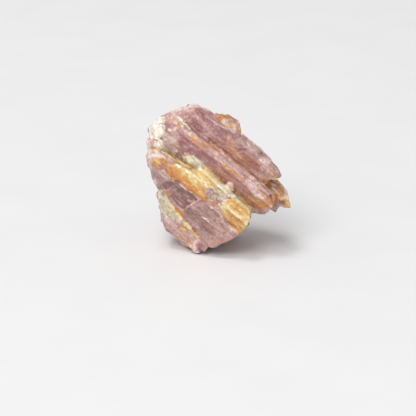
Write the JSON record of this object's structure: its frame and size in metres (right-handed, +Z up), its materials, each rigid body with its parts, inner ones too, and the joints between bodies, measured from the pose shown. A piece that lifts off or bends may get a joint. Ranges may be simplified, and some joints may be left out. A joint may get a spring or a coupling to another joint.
{
  "type": "rough tourmaline",
  "caption": "Rough pink and mauve tourmaline: straight crystals grown side by side in cream and yellow feldspar and quartz, a small display stone that rests on a flat spot.",
  "frame": {"origin": "bottom centre of the stone's box, on the surface it rests on", "axes": "+Z up as the stone rests; +X to the right along its longest side, the way the crystals run down; -Y is the broken front face that shows the crystals side by side"},
  "size_m": [0.0512, 0.04, 0.05],
  "materials": {
    "tourmaline": "rough broken crystal, part glossy"
  },
  "bodies": {
    "root": {"tourmaline": "tourmaline"}
  },
  "joints": []
}
